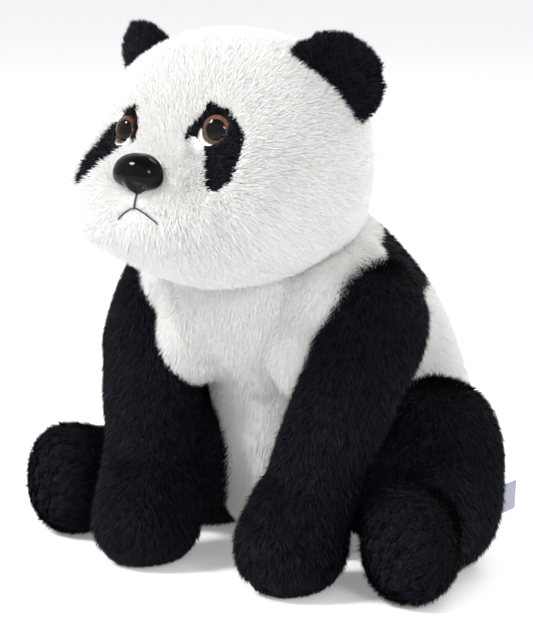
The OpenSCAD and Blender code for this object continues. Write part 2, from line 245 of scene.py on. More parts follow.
def spow(v, p):
    return np.sign(v) * np.abs(v) ** p


def fullness(t, n):
    return np.maximum(0.0, 1 - np.abs(t) ** n) ** (1 / n)


def bell(distance, width):
    """A smooth hump, 1 in the middle and fading over width."""
    return np.exp(-(distance / width) ** 2)


def object_from(name, points, faces, material=None):
    """A mesh object in the shared frame, from points in millimetres."""
    mesh = bpy.data.meshes.new(name)
    mesh.from_pydata([tuple(p) for p in np.asarray(points, float) * MM], [], [tuple(f) for f in faces])
    mesh.update()
    obj = bpy.data.objects.new(name, mesh)
    bpy.context.scene.collection.objects.link(obj)
    outward(obj)
    if material:
        mesh.materials.append(material)
    return obj


def outward(obj):
    work = bmesh.new()
    work.from_mesh(obj.data)
    bmesh.ops.remove_doubles(work, verts=work.verts, dist=1e-7)
    bmesh.ops.recalc_face_normals(work, faces=work.faces)
    work.to_mesh(obj.data)
    work.free()
    obj.data.shade_smooth()


def skin(rings, low, high):
    """Points and faces of a closed skin through rings of points, with a pole at either end."""
    n, m = len(rings), len(rings[0])
    points = np.vstack([[low], np.vstack(rings), [high]])
    at = lambda k, i: 1 + k * m + i % m
    faces = [(0, at(0, i + 1), at(0, i)) for i in range(m)]
    faces += [(at(k, i), at(k, i + 1), at(k + 1, i + 1), at(k + 1, i))
              for k in range(n - 1) for i in range(m)]
    faces += [(n * m + 1, at(n - 1, i), at(n - 1, i + 1)) for i in range(m)]
    return points, faces


def loft(stations, caps, inset, sides=40, steps=5):
    """A soft form through stations (x, y, z, half width, half depth, tilt, squareness), rounded
    between them, drawn in by inset."""
    stations = np.array(stations, float)
    at = np.arange(len(stations))
    fine = np.linspace(0, len(stations) - 1, (len(stations) - 1) * steps + 1)
    smooth = np.stack([catmull(at, stations[:, c], fine) for c in range(stations.shape[1])], 1)
    turn = np.linspace(0, 2 * math.pi, sides, endpoint=False)

    def ring(s, scale=1.0):
        tilt = math.radians(s[5])
        u = (s[3] - inset) * scale * spow(np.cos(turn), 2 / s[6])
        v = (s[4] - inset) * scale * spow(np.sin(turn), 2 / s[6])
        return np.stack([s[0] + u, s[1] + v * math.cos(tilt), s[2] + v * math.sin(tilt)], 1)

    def normal(s):
        tilt = math.radians(s[5])
        return np.array([0, -math.sin(tilt), math.cos(tilt)])

    def dome(s, cap, sign):
        """Rings that round off an end."""
        deep = max(cap - inset, 1.0)
        return [ring(s, math.cos(a)) + sign * normal(s) * deep * math.sin(a)
                for a in np.linspace(0.2, 1.45, 6)]

    first, last = smooth[0], smooth[-1]
    low, high = dome(first, caps[0], -1), dome(last, caps[1], 1)
    rings = low[::-1] + [ring(s) for s in smooth] + high
    return skin(rings, first[:3] - normal(first) * max(caps[0] - inset, 1),
                last[:3] + normal(last) * max(caps[1] - inset, 1))


def catmull(at, values, fine):
    """A smooth curve through values."""
    slope = np.gradient(values, at)
    k = np.clip(fine.astype(int), 0, len(at) - 2)
    t = fine - k
    return ((2 * t ** 3 - 3 * t ** 2 + 1) * values[k] + (t ** 3 - 2 * t ** 2 + t) * slope[k]
            + (-2 * t ** 3 + 3 * t ** 2) * values[k + 1] + (t ** 3 - t ** 2) * slope[k + 1])


def ball(centre, radii, turned=(0, 0, 0), squareness=2.0):
    """Points and faces of a rounded lump."""
    rings, sides = [], 28
    turn = np.linspace(0, 2 * math.pi, sides, endpoint=False)
    for a in np.linspace(-1.4, 1.4, 15):
        rings.append(np.stack([math.cos(a) * np.cos(turn), math.cos(a) * np.sin(turn),
                               np.full(sides, math.sin(a))], 1))
    points, faces = skin(rings, (0, 0, -1), (0, 0, 1))
    spin = np.array(Matrix.Rotation(math.radians(turned[2]), 3, "Z")
                    @ Matrix.Rotation(math.radians(turned[1]), 3, "Y")
                    @ Matrix.Rotation(math.radians(turned[0]), 3, "X"))
    points = spow(points, 2 / squareness) if squareness != 2 else points
    return points * np.array(radii) @ spin.T + np.array(centre), faces


def joined(forms):
    """Several closed forms as one list of points and faces."""
    points, faces, count = [], [], 0
    for p, f in forms:
        points.append(p)
        faces += [tuple(i + count for i in face) for face in f]
        count += len(p)
    return np.vstack(points), faces


def coords(mesh):
    co = np.zeros(len(mesh.vertices) * 3)
    mesh.vertices.foreach_get("co", co)
    return co.reshape(-1, 3) / MM


def normals(mesh):
    no = np.zeros(len(mesh.vertices) * 3)
    mesh.vertex_normals.foreach_get("vector", no)
    return no.reshape(-1, 3)


def put_coords(mesh, points):
    mesh.vertices.foreach_set("co", (points * MM).ravel())
    mesh.update()


def baked(obj):
    """The object's evaluated mesh becomes its own, with no modifiers left."""
    graph = bpy.context.evaluated_depsgraph_get()
    mesh = bpy.data.meshes.new_from_object(obj.evaluated_get(graph))
    obj.modifiers.clear()
    old, obj.data = obj.data, mesh
    mesh.name = obj.name
    bpy.data.meshes.remove(old)
    return obj


def soften(obj, rounds):
    """Relaxes the points towards their neighbours, out and in by turns, so that nothing shrinks."""
    mesh = obj.data
    edges = np.zeros(len(mesh.edges) * 2, int)
    mesh.edges.foreach_get("vertices", edges)
    a, b = edges.reshape(-1, 2).T
    points = coords(mesh)
    count = np.bincount(np.concatenate([a, b]), minlength=len(points))[:, None]
    for factor in (0.5, -0.53) * rounds:
        total = np.zeros_like(points)
        np.add.at(total, a, points[b])
        np.add.at(total, b, points[a])
        points += (total / count - points) * factor
    put_coords(mesh, points)


def clear_of(points, nodes, gap):
    """Lifts points that lie less than gap millimetres outside these nodes of the frame."""
    for node in nodes:
        work = bmesh.new()
        work.from_mesh(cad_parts[node].data)
        bmesh.ops.remove_doubles(work, verts=work.verts, dist=1e-6)
        bmesh.ops.recalc_face_normals(work, faces=work.faces)
        tree = BVHTree.FromBMesh(work)
        work.free()
        for k, p in enumerate(points):
            near, away, _, far = tree.find_nearest(Vector(p * MM), 0.02)
            if near is None:
                continue
            out = far if (Vector(p * MM) - near).dot(away) > 0 else -far
            if out < gap * MM:
                points[k] = np.array(near + away * gap * MM) / MM
    return points


def remeshed(obj, size):
    grid = obj.modifiers.new("grid", "REMESH")
    grid.mode = "VOXEL"
    grid.voxel_size = size
    return baked(obj)


def stuffed(obj, cap, held=None):
    """Presses the filling out against a cover by cloth simulation, no further than cap.
    held(points) gives how firmly each point is sewn down, from 0 to 1."""
    before = coords(obj.data)
    sewn = obj.vertex_groups.new(name="sewn")
    firm = held(before) if held else np.zeros(len(before))
    for i, w in enumerate(firm):
        if w > 0.02:
            sewn.add([i], float(min(1, w)), "REPLACE")
    cloth = obj.modifiers.new("cloth", "CLOTH")
    s = cloth.settings
    s.quality = 5
    s.mass = 0.25
    s.tension_stiffness = s.compression_stiffness = 12
    s.shear_stiffness = 6
    s.bending_stiffness = 0.4
    s.use_pressure = True
    s.uniform_pressure_force = 4
    s.effector_weights.gravity = 0
    s.vertex_group_mass = "sewn"
    last = 20
    cloth.point_cache.frame_start, cloth.point_cache.frame_end = 1, last
    scene = bpy.context.scene
    for f in range(1, last + 1):
        scene.frame_set(f)
    baked(obj)
    scene.frame_set(1)
    obj.vertex_groups.clear()
    moved = coords(obj.data) - before
    far = np.linalg.norm(moved, axis=1, keepdims=True)
    put_coords(obj.data, before + moved * np.minimum(1, cap / np.maximum(far, 1e-6)))


def cover(name, forms, settings, material, sculpt=None, held=None, relax=4, over=()):
    """A stuffed cover: closed forms merged on a fine grid, sculpted, stuffed and smoothed, with the
    filling nodes named in over left inside it."""
    points, faces = joined(forms)
    obj = remeshed(object_from(name, points, faces), settings.voxel)
    soften(obj, relax)
    if sculpt:
        p = coords(obj.data)
        put_coords(obj.data, sculpt(p, normals(obj.data)))
    stuffed(obj, settings.swell / MM, held)
    soften(obj, 2)
    put_coords(obj.data, clear_of(coords(obj.data), over, 1.6))
    soften(obj, 1)
    fine = obj.modifiers.new("fine", "SUBSURF")
    fine.levels = fine.render_levels = 1
    baked(obj)
    obj.data.materials.clear()
    obj.data.materials.append(material)
    outward(obj)
    return obj


def folds(p, n, scale, height, seed):
    """Shallow dents and swells of an unevenly stuffed cover."""
    q = p / scale + seed * 7.3
    wave = (np.sin(q[:, 0] + 1.7 * np.sin(q[:, 1])) + np.sin(1.3 * q[:, 1] + 1.9 * np.sin(q[:, 2]))
            + np.sin(1.1 * q[:, 2] + 1.4 * np.sin(q[:, 0]))) / 3
    return p + n * (wave * height)[:, None]


# ---------------------------------------------------------------- pile

def pile_tree(materials):
    """Geometry Nodes that plant locks of pile on a cover and comb them along its nap."""
    tree = bpy.data.node_groups.new("pile", "GeometryNodeTree")
    tree.interface.new_socket("Geometry", in_out="INPUT", socket_type="NodeSocketGeometry")
    for name in ("Density", "Length", "Width", "Lift", "Lay", "Mess", "Clump size", "Clump pull", "Bend",
                 "Softness", "Stray", "Spin"):
        tree.interface.new_socket(name, in_out="INPUT", socket_type="NodeSocketFloat")
    tree.interface.new_socket("Seed", in_out="INPUT", socket_type="NodeSocketInt")
    tree.interface.new_socket("Geometry", in_out="OUTPUT", socket_type="NodeSocketGeometry")
    given = add(tree, "NodeGroupInput").outputs

    number, vector, chance = "ShaderNodeMath", "ShaderNodeVectorMath", "FunctionNodeRandomValue"
    write, recall = "GeometryNodeStoreNamedAttribute", "GeometryNodeInputNamedAttribute"
    compare, aligned = "FunctionNodeCompare", "FunctionNodeAlignRotationToVector"

    # one lock is a narrow kite, folded over at its widest point
    grid = add(tree, "GeometryNodeMeshGrid", Size_X=1.0, Size_Y=1.0, Vertices_X=2, Vertices_Y=2)
    corner = add(tree, "ShaderNodeSeparateXYZ", {"Vector": add(tree, "GeometryNodeInputPosition")}).outputs
    up = add(tree, number, {0: corner["X"], 1: corner["Y"]}, operation="ADD")
    up = add(tree, number, {0: up, 1: 1.0}, operation="ADD")
    up = add(tree, number, {0: up, 1: 0.5}, operation="MULTIPLY")
    across = add(tree, number, {0: corner["Y"], 1: corner["X"]}, operation="SUBTRACT")
    across = add(tree, number, {0: across, 1: 0.5}, operation="MULTIPLY")
    curl = add(tree, number, {0: up, 1: 2.2}, operation="POWER")
    curl = add(tree, number, {0: curl, 1: given["Bend"]}, operation="MULTIPLY")
    rise = add(tree, number, {0: up, 1: 1.25}, operation="POWER")
    shape = add(tree, "ShaderNodeCombineXYZ", {"X": curl, "Y": across, "Z": rise})
    lock = add(tree, "GeometryNodeSetPosition", {"Geometry": grid, "Position": shape})

    # the places that locks grow from, each with its way out of the cover and its tint
    planted = add(tree, "GeometryNodeDistributePointsOnFaces",
                  {"Mesh": given["Geometry"], "Density": given["Density"], "Seed": given["Seed"]})
    kept = add(tree, recall, data_type="FLOAT", Name="keep").outputs["Attribute"]
    cut = add(tree, compare, {"A": kept, "B": 0.5}, data_type="FLOAT", operation="LESS_THAN")
    bare = add(tree, "GeometryNodeDeleteGeometry", {"Geometry": planted, "Selection": cut})
    grow = add(tree, write, {"Geometry": bare, "Value": planted.outputs["Normal"]},
               data_type="FLOAT_VECTOR", domain="POINT", Name="grow")
    tint = add(tree, chance, {2: 0.0, 3: 1.0, "Seed": 3}, data_type="FLOAT").outputs[1]
    tinted = add(tree, write, {"Geometry": grow, "Value": tint},
                 data_type="FLOAT", domain="POINT", Name="tint")

    # the way that each lock points: out of the cover, along the nap, and astray
    place = add(tree, "GeometryNodeInputPosition")
    n = add(tree, recall, data_type="FLOAT_VECTOR", Name="grow").outputs["Attribute"]
    nap = add(tree, recall, data_type="FLOAT_VECTOR", Name="nap").outputs["Attribute"]
    lean = add(tree, vector, {0: nap, 1: n}, operation="DOT_PRODUCT").outputs["Value"]
    lean = add(tree, vector, {0: n, "Scale": lean}, operation="SCALE")
    along = add(tree, vector, {0: nap, 1: lean}, operation="SUBTRACT")
    cells = add(tree, number, {0: 1.0, 1: given["Clump size"]}, operation="DIVIDE")
    wander = add(tree, "ShaderNodeTexNoise", {"Vector": place, "Scale": cells}, Detail=2.0).outputs["Color"]
    wander = add(tree, vector, {0: wander, 1: (0.5, 0.5, 0.5)}, operation="SUBTRACT")
    wander = add(tree, vector, {0: wander, "Scale": given["Mess"]}, operation="SCALE")
    middle = add(tree, "ShaderNodeTexVoronoi", {"Vector": place, "Scale": cells}).outputs["Position"]
    pull = add(tree, number, {0: given["Clump pull"], 1: given["Length"]}, operation="DIVIDE")
    inward = add(tree, vector, {0: middle, 1: place}, operation="SUBTRACT")
    inward = add(tree, vector, {0: inward, "Scale": pull}, operation="SCALE")
    stray = add(tree, chance, {0: (-1.0,) * 3, 1: (1.0,) * 3}, data_type="FLOAT_VECTOR")
    stray = add(tree, vector, {0: stray, "Scale": given["Stray"]}, operation="SCALE")
    laid = add(tree, vector, {0: along, "Scale": given["Lay"]}, operation="SCALE")
    aim = add(tree, vector, {0: n, "Scale": given["Lift"]}, operation="SCALE")
    for part in (laid, wander, inward, stray):
        aim = add(tree, vector, {0: aim, 1: part}, operation="ADD")
    stand = add(tree, aligned, {"Vector": aim}, axis="Z")
    combed = add(tree, aligned, {"Rotation": stand, "Vector": along}, axis="X", pivot_axis="Z")
    twist = add(tree, chance, {2: -1.0, 3: 1.0, "Seed": 5}, data_type="FLOAT").outputs[1]
    twist = add(tree, number, {0: twist, 1: given["Spin"]}, operation="MULTIPLY")
    twist = add(tree, "FunctionNodeAxisAngleToRotation", {"Angle": twist}, Axis=(0, 0, 1))
    spun = add(tree, "FunctionNodeRotateRotation", {"Rotation": combed, "Rotate By": twist},
               rotation_space="LOCAL")

    # the size of each lock
    tall = add(tree, chance, {2: 0.7, 3: 1.15, "Seed": 7}, data_type="FLOAT").outputs[1]
    tall = add(tree, number, {0: given["Length"], 1: tall}, operation="MULTIPLY")
    trimmed = add(tree, recall, data_type="FLOAT", Name="pile").outputs["Attribute"]
    tall = add(tree, number, {0: tall, 1: trimmed}, operation="MULTIPLY")
    wide = add(tree, chance, {2: 0.7, 3: 1.3, "Seed": 9}, data_type="FLOAT").outputs[1]
    wide = add(tree, number, {0: given["Width"], 1: wide}, operation="MULTIPLY")
    size = add(tree, "ShaderNodeCombineXYZ", {"X": tall, "Y": wide, "Z": tall})
    locks = add(tree, "GeometryNodeInstanceOnPoints",
                {"Points": tinted, "Instance": lock, "Rotation": spun, "Scale": size})
    geometry = add(tree, "GeometryNodeRealizeInstances", {"Geometry": locks})

    # light falls on a lock mostly as on the cover under it, which makes the pile look soft
    soft = add(tree, vector, {0: n, "Scale": given["Softness"]}, operation="SCALE")
    own = add(tree, vector, {0: add(tree, "GeometryNodeInputNormal"), "Scale": 0.5}, operation="SCALE")
    soft = add(tree, vector, {0: soft, 1: own}, operation="ADD")
    geometry = add(tree, "GeometryNodeSetMeshNormal", {"Mesh": geometry, "Custom Normal": soft}, mode="FREE")
    share = 1.0 / len(materials)
    for k in range(len(materials) - 1, -1, -1):
        tint = add(tree, recall, data_type="FLOAT", Name="tint").outputs["Attribute"]
        chosen = add(tree, compare, {"A": tint, "B": share * (k + 1) + 0.001},
                     data_type="FLOAT", operation="LESS_THAN")
        geometry = add(tree, "GeometryNodeSetMaterial",
                       {"Geometry": geometry, "Selection": chosen, "Material": materials[k]})
    add(tree, "NodeGroupOutput", {"Geometry": geometry})
    return tree


def set_inputs(modifier, values):
    for item in modifier.node_group.interface.items_tree:
        if item.item_type == "SOCKET" and item.in_out == "INPUT" and item.name in values:
            modifier[item.identifier] = values[item.name]


def store(mesh, name, kind, values):
    layer = mesh.attributes.new(name, kind, "POINT")
    layer.data.foreach_set("vector" if kind == "FLOAT_VECTOR" else "value", np.asarray(values, float).ravel())


def grow_pile(name, base, materials, keep, nap, pile=None, **comb):
    """Plants pile on a cover where keep(points) is over 0.5, combed along nap(points, normals)."""
    ground = bpy.data.objects.new(name, base.data.copy())
    bpy.context.scene.collection.objects.link(ground)
    p, n = coords(ground.data), normals(ground.data)
    direction = nap(p, n)
    direction /= np.maximum(np.linalg.norm(direction, axis=1, keepdims=True), 1e-6)
    store(ground.data, "nap", "FLOAT_VECTOR", direction)
    store(ground.data, "keep", "FLOAT", np.clip(keep(p, n), 0, 1))
    store(ground.data, "pile", "FLOAT", pile(p, n) if pile else np.ones(len(p)))
    nodes = ground.modifiers.new("pile", "NODES")
    nodes.node_group = pile_tree(materials)
    set_inputs(nodes, comb)
    baked(ground)
    tips = coords(ground.data)
    tips[:, 2] = np.maximum(tips[:, 2], PRESSED)
    put_coords(ground.data, tips)
    for spare in ("nap", "keep", "pile", "grow", "tint"):
        if spare in ground.data.attributes:
            ground.data.attributes.remove(ground.data.attributes[spare])
    return ground


# ---------------------------------------------------------------- the panda's own shapes, in millimetres

HEAD_W, HEAD_H, BROW, NAPE = 81, 69, 64, 56
HEAD_Y, HEAD_Z, HEAD_ROUND = -98, 236, 2.4
MUZZLE_OUT, MUZZLE_Z, MUZZLE_SPREAD = 31, 212, 34
EYE = (30.5, 258.5)
EYE_TURN, EYE_LIFT, EYE_SUNK = 15, 10, 8.5
SOCKET_FLOOR = -1.0             # the face lies this far under the back of the eye,
SOCKET_SINK = 1.2               # but sinks no further than this, so that it covers the filling
EYE_R, PUPIL_R = 8.0, 5.3
NOSE_Z, NOSE_HALF_W = 234.5, 16.0
MOUTH_Z = 217.5
EYE_DROP = {1: 0, -1: 4}        # the face is sewn a little askew
PATCH_NARROW = {1: 1.0, -1: 1.08}
PATCH = [(26, 270, 2.5), (30.5, 262, 8.5), (39.5, 252, 9.5), (43, 244, 8.5), (46, 236, 6.5)]    # x, z, radius
TUFT = [(27, 266, 4), (21, 258, 3.5), (17.5, 252, 1.2)]
CORNER = (23.0, 249.0, 5.0)     # the white corner under the inner side of the eye
EAR_PLACE, EAR_LEAN, EAR_FACE = (61, -96, 277), 34, 24
EAR_R, EAR_T, EAR_RISE, EAR_CUP = 31, 14, 7, 6
TORSO = [(0, 0, 1, 40, 42, 0, 2.2), (0, 1, 12, 62, 60, 0, 2.3), (0, 3, 35, 76, 71, 0, 2.4),
         (0, 2, 65, 78, 74, 2, 2.4), (0, -4, 95, 76, 73, 8, 2.3), (0, -17, 125, 71, 70, 18, 2.2),
         (0, -39, 152, 64, 65, 28, 2.2), (0, -66, 176, 57, 57, 36, 2.2), (0, -90, 200, 52, 45, 42, 2.2)]
ARM = [(52.5, -114, 2, 20, 25, 0, 2.3), (52.5, -115, 16, 27, 34, 0, 2.4), (52.5, -115, 36, 28, 35, 4, 2.4),
       (57, -109, 58, 29, 33, 12, 2.2), (63, -99, 80, 30, 33, 20, 2.1), (69, -89, 104, 33, 35, 20, 2.2),
       (73, -80, 126, 33, 37, 14, 2.3), (75, -72, 148, 29, 36, 4, 2.2), (73, -70, 170, 24, 28, 0, 2.1)]
THIGH = ((60, -50, 54), (30, 22, 34))       # the soft inner side of the thigh: its middle and radii
FOOT_X = {"left": 118, "right": 127}
HIP, HAUNCH_R, HAUNCH_H = (83, -23), 41, 110
SOLE_Y, PAD_Z = -107, 13
BAND_LOW, BAND_HIGH, BAND_FRONT, BACK_SPLIT = 148, 184, -54, -34
TAIL, TAIL_R, TAIL_OUT = (0, 78, 44), 15, 14
GROUND = 1.2                    # the covers' lowest point, so that the pile meets the ground
PRESSED = 0.2                   # pile under the toy is pressed flat, this far above the ground
LABEL_OUT, LABEL_ROOT, LABEL_H = 20, 8, 17  # what shows of the label, what is sewn in, and its height
LABEL_TURN, LABEL_Z, LABEL_RISE = 72, 21, 4


def muzzle(z):
    return MUZZLE_OUT * np.exp(-((z - MUZZLE_Z) / MUZZLE_SPREAD) ** 2)


def face_depth(z):
    return BROW * fullness((z - HEAD_Z) / HEAD_H, HEAD_ROUND) + muzzle(z)


def face_square(z):
    return 2.4 + 0.6 * muzzle(z) / MUZZLE_OUT


def face_y(x, z):
    """Front of the face at a place across and up."""
    wide = np.maximum(HEAD_W * fullness((z - HEAD_Z) / HEAD_H, HEAD_ROUND), 1e-3)
    return HEAD_Y - face_depth(z) * fullness(np.minimum(np.abs(x) / wide, 1), face_square(z))


def head_form(inset):
    rings, sides = [], 72
    turn = np.linspace(0, 2 * math.pi, sides, endpoint=False)
    for t in np.sin(np.linspace(-1.42, 1.42, 30)):
        z = HEAD_Z + t * (HEAD_H - inset)
        f = fullness(np.array(t), HEAD_ROUND)
        wide, back, front = HEAD_W * f - inset, NAPE * f - inset, face_depth(z) - inset
        q = np.where(np.sin(turn) < 0, face_square(z), 2.3)
        rings.append(np.stack([wide * spow(np.cos(turn), 2 / q),
                               HEAD_Y + np.where(np.sin(turn) < 0, front, back) * spow(np.sin(turn), 2 / q),
                               np.full(sides, z)], 1))
    return skin(rings, (0, HEAD_Y, HEAD_Z - HEAD_H + inset), (0, HEAD_Y, HEAD_Z + HEAD_H - inset))


def leg_form(foot_x, inset):
    """The haunch, round about its upright axis, and the foot that runs forward from it."""
    sections = [(92, -36, 48, 31, 44, 90, 2.3), (101, -52, 40, 29, 38, 90, 2.3),
                (foot_x - 8, -68, 33, 27, 31, 90, 2.2), (foot_x - 2, -86, 33, 28, 33, 90, 2.3),
                (foot_x, -101, 34, 29, 35, 90, 2.3), (foot_x + 1, -111, 34, 24, 29, 90, 2.3)]
    half = HAUNCH_H / 2 + 2 - inset
    middle, squareness = HAUNCH_H / 2 - 2, 2.6
    rings, sides = [], 44
    turn = np.linspace(0, 2 * math.pi, sides, endpoint=False)
    for a in np.linspace(-1.45, 1.45, 18):
        r = (HAUNCH_R - inset) * spow(math.cos(a), 2 / squareness)
        rings.append(np.stack([HIP[0] + r * np.cos(turn), HIP[1] + r * np.sin(turn),
                               np.full(sides, middle + half * spow(math.sin(a), 2 / squareness))], 1))
    haunch = skin(rings, (*HIP, middle - half), (*HIP, middle + half))
    return [loft(sections, (8, 7), inset), haunch, ball(*THIGH)]


def ear_form(inset):
    """A cupped round cushion that stands in its own frame, facing -Y."""
    rings, sides = [], 48
    turn = np.linspace(0, 2 * math.pi, sides, endpoint=False)
    for a in np.linspace(-1.5, 1.5, 15):
        r = (EAR_R - inset) * math.cos(a) ** 0.7
        y = (EAR_T / 2 - inset * 0.6) * math.sin(a) + EAR_CUP * (1 - (r / EAR_R) ** 2) - 2
        rings.append(np.stack([r * np.cos(turn), np.full(sides, y), EAR_RISE + r * np.sin(turn)], 1))
    flat = EAR_T / 2 - inset * 0.6
    return skin(rings, (0, EAR_CUP - 2 - flat, EAR_RISE), (0, EAR_CUP - 2 + flat, EAR_RISE))


def mirrored(forms, side):
    """The left side's forms for either side."""
    return [(p * np.array([side, 1, 1]), f if side > 0 else [face[::-1] for face in f]) for p, f in forms]


def at_eye(side):
    """The frame of an eye: +Z looks out of the face."""
    z = EYE[1] - EYE_DROP[side]
    place = (side * EYE[0], float(face_y(EYE[0], z)) + EYE_SUNK, z)
    return (Matrix.Translation(place) @ Matrix.Rotation(math.radians(side * EYE_TURN), 4, "Z")
            @ Matrix.Rotation(math.radians(90 - EYE_LIFT), 4, "X"))


def at_nose():
    return (Matrix.Translation((0, float(face_y(0, NOSE_Z)) + 1, NOSE_Z))
            @ Matrix.Rotation(math.radians(82), 4, "X"))


def at_ear(side):
    flip = Matrix.Scale(-1, 4, (1, 0, 0)) if side < 0 else Matrix.Identity(4)
    return (flip @ Matrix.Translation(EAR_PLACE) @ Matrix.Rotation(math.radians(EAR_LEAN), 4, "Y")
            @ Matrix.Rotation(math.radians(EAR_FACE), 4, "Z"))


def moved(points, matrix):
    turn = np.array(matrix.to_3x3())
    return np.asarray(points) @ turn.T + np.array(matrix.translation)


def patch_depth(p, side):
    """How far inside the eye patch's outline each point lies, negative outside it."""
    x, z = p[:, 0] * side * PATCH_NARROW[side], p[:, 2] + EYE_DROP[side]
    deep = np.full(len(p), -99.0)
    for row in (PATCH, TUFT):
        for (x0, z0, r0), (x1, z1, r1) in zip(row, row[1:]):
            long = (x1 - x0) ** 2 + (z1 - z0) ** 2
            t = np.clip(((x - x0) * (x1 - x0) + (z - z0) * (z1 - z0)) / long, 0, 1)
            far = np.hypot(x - x0 - t * (x1 - x0), z - z0 - t * (z1 - z0))
            deep = np.maximum(deep, r0 + (r1 - r0) * t - far)
    deep = np.minimum(deep, np.hypot(x - CORNER[0], z - CORNER[1]) - CORNER[2])
    return np.where(p[:, 1] < HEAD_Y, deep, -99)


def eye_distance(p, side):
    """How far across the face each point lies from the middle of an eye."""
    far = np.hypot(p[:, 0] * side - EYE[0], p[:, 2] + EYE_DROP[side] - EYE[1])
    return far + np.where(p[:, 1] < HEAD_Y, 0, 99)


def nose_distance(p):
    return np.hypot(p[:, 0], (p[:, 2] - NOSE_Z) * 1.25) + np.where(p[:, 1] < HEAD_Y, 0, 99)


def mouth_distance(p):
    """How far above or below the line of the mouth each point lies."""
    x, z = np.abs(p[:, 0]), p[:, 2]
    line = MOUTH_Z - 7 * (np.clip(x, 0, 15) / 15) ** 1.5
    side = np.where((x < 16) & (p[:, 1] < HEAD_Y), np.abs(z - line), 99)
    stem = np.where((z > MOUTH_Z) & (z < NOSE_Z - 8) & (p[:, 1] < HEAD_Y), x, 99)
    return np.minimum(side, stem)


def white_on_back(p):
    """Below zero on the chest, above zero on the back."""
    return p[:, 1] - BACK_SPLIT


def in_band(p):
    """How far inside the black band over the shoulders each point lies."""
    tilt = math.radians(8)
    y, z = p[:, 1] - BAND_FRONT, p[:, 2] - BAND_LOW
    up = z * math.cos(tilt) - y * math.sin(tilt)
    along = y * math.cos(tilt) + z * math.sin(tilt)
    return np.minimum(np.minimum(up, BAND_HIGH - BAND_LOW - up), along)


def panel(name, base, inside, material, thick=1.2):
    """The part of a cover where inside(points) is positive, as a sewn panel with its own thickness."""
    obj = bpy.data.objects.new(name, base.data.copy())
    bpy.context.scene.collection.objects.link(obj)
    deep = inside(coords(obj.data))
    work = bmesh.new()
    work.from_mesh(obj.data)
    away = [f for f in work.faces if sum(deep[v.index] for v in f.verts) < 0]
    bmesh.ops.delete(work, geom=away, context="FACES")
    work.to_mesh(obj.data)
    work.free()
    wall = obj.modifiers.new("wall", "SOLIDIFY")
    wall.thickness = thick * MM
    wall.offset = -1
    baked(obj)
    obj.data.materials.clear()
    obj.data.materials.append(material)
    obj.data.shade_smooth()
    return obj


def drop(obj):
    bpy.data.objects.remove(obj, do_unlink=True)


def settle(piece, body, slot, *nodes):
    """Puts a finished piece on its body and hides the frame's nodes that it stands for; slot, its finish, is
    not used.
    """
    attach(piece, body)
    if nodes:
        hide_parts(*nodes)
    return piece


STUFFS = {}


def stuff(key):
    """The panda's materials, each made once."""
    if STUFFS:
        return STUFFS[key]
    d = bpy.context.scene.panda_dyes
    white, cream, black, painted_glint = (tuple(c) for c in (d.white, d.cream, d.black, d.painted_glint))
    STUFFS.update({
        "white pile": pile_materials("brushed white plush", cream, [mixed(cream, white, 0.6), white],
                                     0.9, 0.2, 0.3, 0.6),
        # The black and short pile take two of their three tints from the painted glint colour: random locks
        # lightened to stand in for glints on the fibres. The black backing's blotches lean a little towards
        # it too.
        "black pile": pile_materials("brushed black plush", black, [mixed(black, painted_glint, 0.35), painted_glint],
                                     0.5, 0.004, 0.06),
        "short pile": pile_materials("short black plush", black, [mixed(black, painted_glint, 0.5), painted_glint],
                                     0.5, 0.006, 0.07),
        "white knit": knit_backing("white knitted backing", white, cream, 0.25),
        "black knit": knit_backing("black knitted backing", black, mixed(black, painted_glint, 0.4), 0.0),
        "iris": eye_brown(tuple(d.iris)),
        "lens": clear_acrylic(),
        "pupil": black_gloss("moulded black pupil", 0.0, 0.0),
        "nose": black_gloss("polished black ABS"),
        "mouth": thread_material("grey embroidery thread", tuple(d.thread)),
        "closing": thread_material("white sewing thread", white),
        "label": satin(tuple(d.label)),
        "filling": mottled("polyester fibre filling", "#fbfaf5", "#dcdad2", 120.0, 0.95, 0.002),
        "bag": mottled("cotton pellet bag", "#cfd2cc", "#aeb2ab", 900.0, 0.9, 0.0004),
        "washer": mottled("moulded polypropylene", "#f4f4f0", "#e2e2dc", 60.0, 0.4, 0.0001),
    })
    return STUFFS[key]


# how the locks of pile stand: COMB for any pile, SMOOTH for the white, FLUFFY for the black
COMB = {
    "Lift": 0.5, "Lay": 0.9, "Mess": 0.5, "Clump size": 0.006, "Clump pull": 0.5,
    "Bend": 0.5, "Softness": 0.6, "Stray": 0.15, "Spin": 0.9}
SMOOTH = {"Lift": 0.75, "Lay": 0.6, "Mess": 0.14, "Clump_pull": 0.0, "Stray": 0.22,
          "Bend": 0.25, "Softness": 4.0}
FLUFFY = {"Lift": 0.8, "Lay": 0.6, "Mess": 0.35, "Clump_pull": 0.15, "Clump_size": 0.004,
          "Stray": 0.25, "Softness": 0.35, "Width": 0.0004}


def comb(cloth, long, density, seed, **changes):
    """The pile's settings for one piece, in the Geometry Nodes' own units."""
    values = {**COMB, "Width": cloth.strand, "Length": long, "Density": density * 1e6, "Seed": seed}
    return {**values, **{key.replace("_", " "): value for key, value in changes.items()}}


# ---------------------------------------------------------------- the pieces

